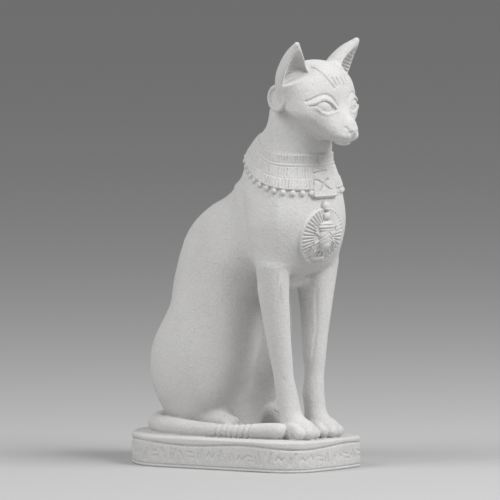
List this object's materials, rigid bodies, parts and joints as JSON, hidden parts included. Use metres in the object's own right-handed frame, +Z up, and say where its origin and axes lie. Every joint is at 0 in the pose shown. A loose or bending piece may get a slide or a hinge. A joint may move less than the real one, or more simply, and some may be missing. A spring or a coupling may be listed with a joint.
{
  "type": "ancient egyptian seated cat figure",
  "caption": "Slender seated cat with upright pierced ears, hoop earrings, broad collar and beetle pendant, on its own low rounded base with a shallow carved band.",
  "frame": {"origin": "on the flat underside of the base, in the cat's own centre plane, below the middle of its body", "axes": "+Z up, -Y the way the cat looks, +X the cat's left"},
  "size_m": [0.1207, 0.2047, 0.33],
  "materials": {
    "plaster": "matt, fine grained, dry white cast stone plaster"
  },
  "bodies": {
    "root": {"bastet_cat": "plaster"}
  },
  "joints": []
}
